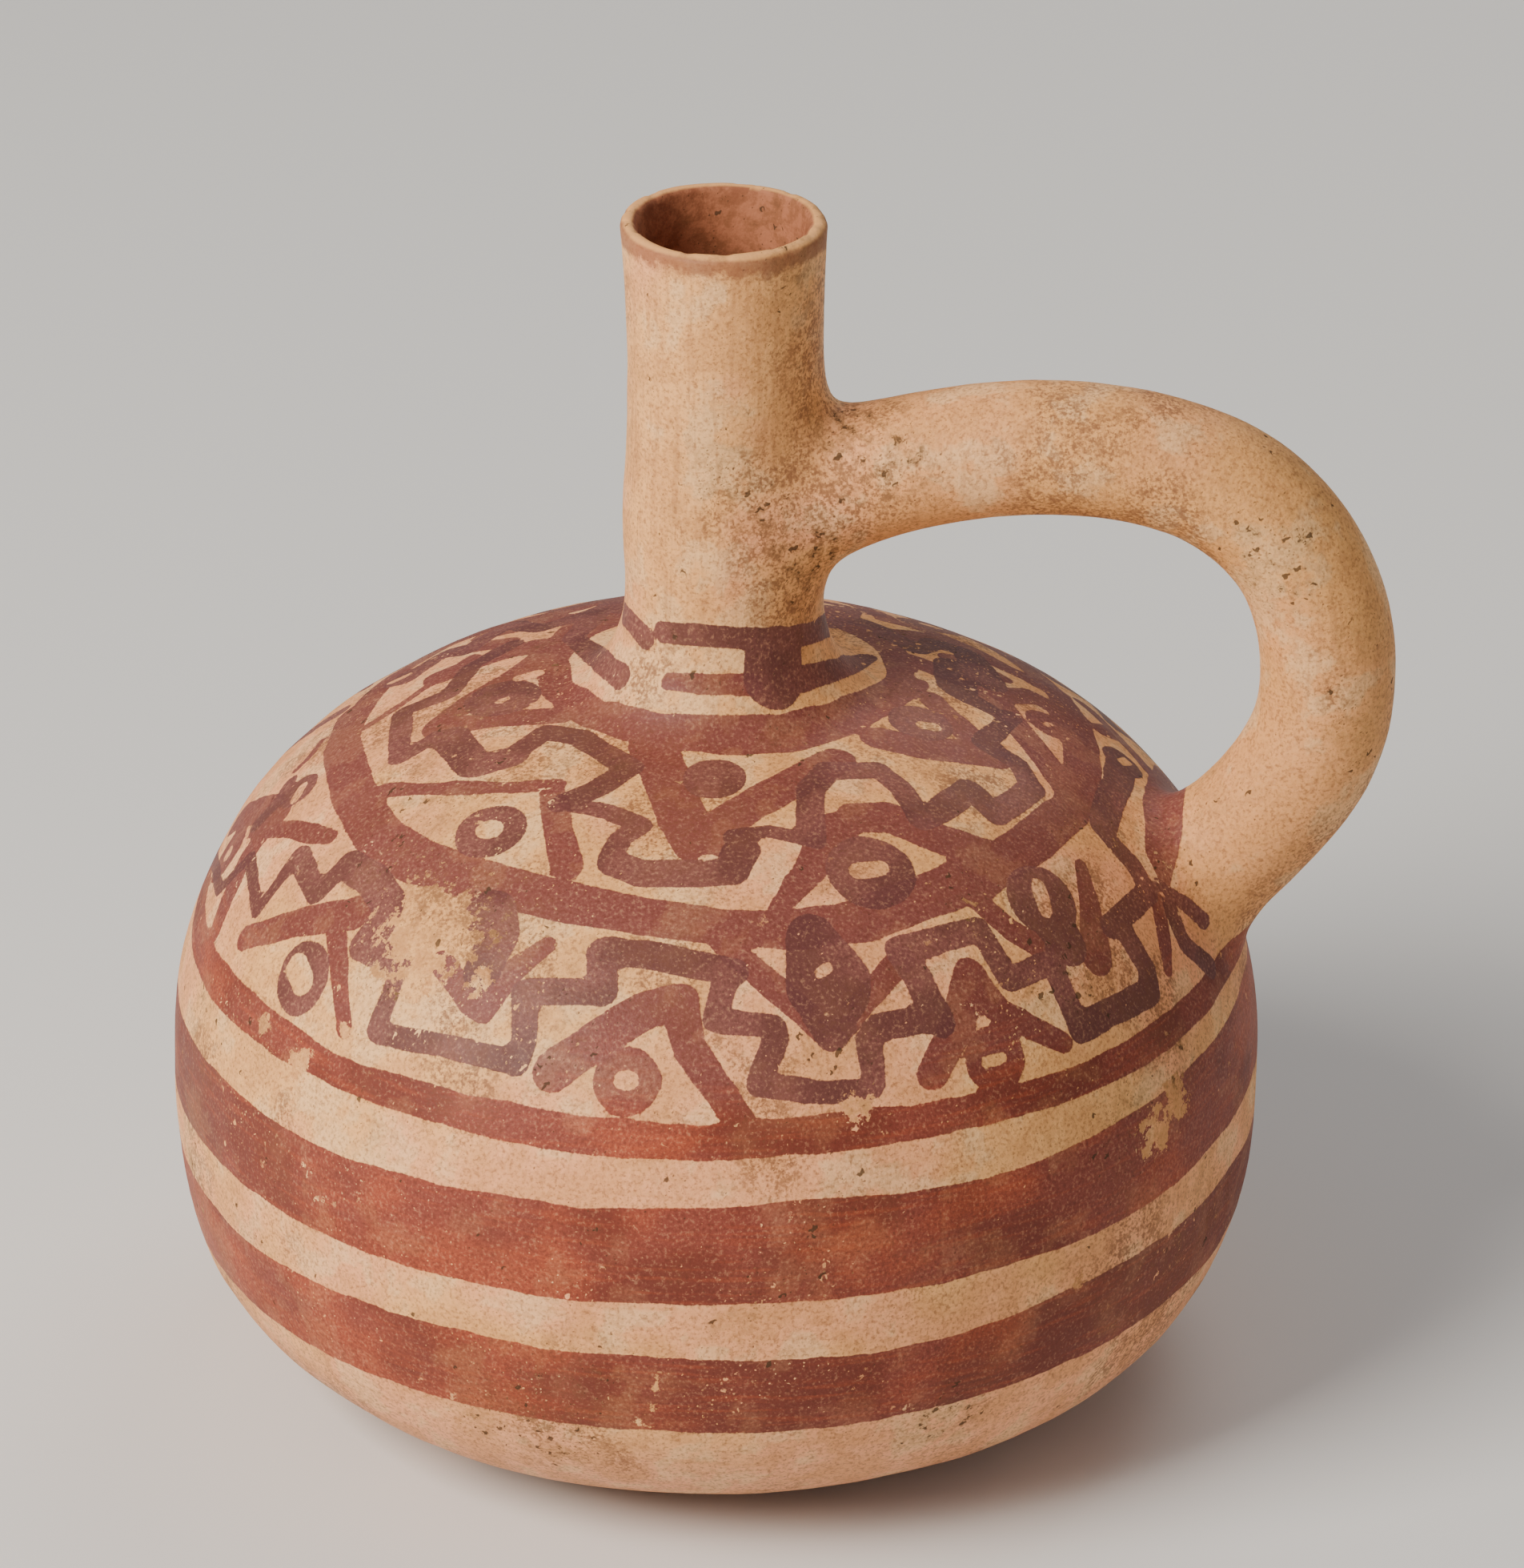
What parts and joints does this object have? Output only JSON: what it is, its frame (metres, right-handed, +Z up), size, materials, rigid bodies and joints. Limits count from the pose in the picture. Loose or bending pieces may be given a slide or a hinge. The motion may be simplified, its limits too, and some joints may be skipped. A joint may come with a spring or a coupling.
{
  "type": "spout-and-handle bottle",
  "caption": "Round-bodied clay bottle with a straight central spout and a tubular handle arching from spout to shoulder.",
  "frame": {"origin": "centre of the flat base, on the chamber's axis", "axes": "+Z up along the chamber's axis, +X towards the handle, XZ the plane of symmetry"},
  "size_m": [0.19, 0.17, 0.191],
  "materials": {
    "fired_clay": "matt slip, burnished in places"
  },
  "bodies": {
    "root": {"vessel": "fired_clay"}
  },
  "joints": []
}
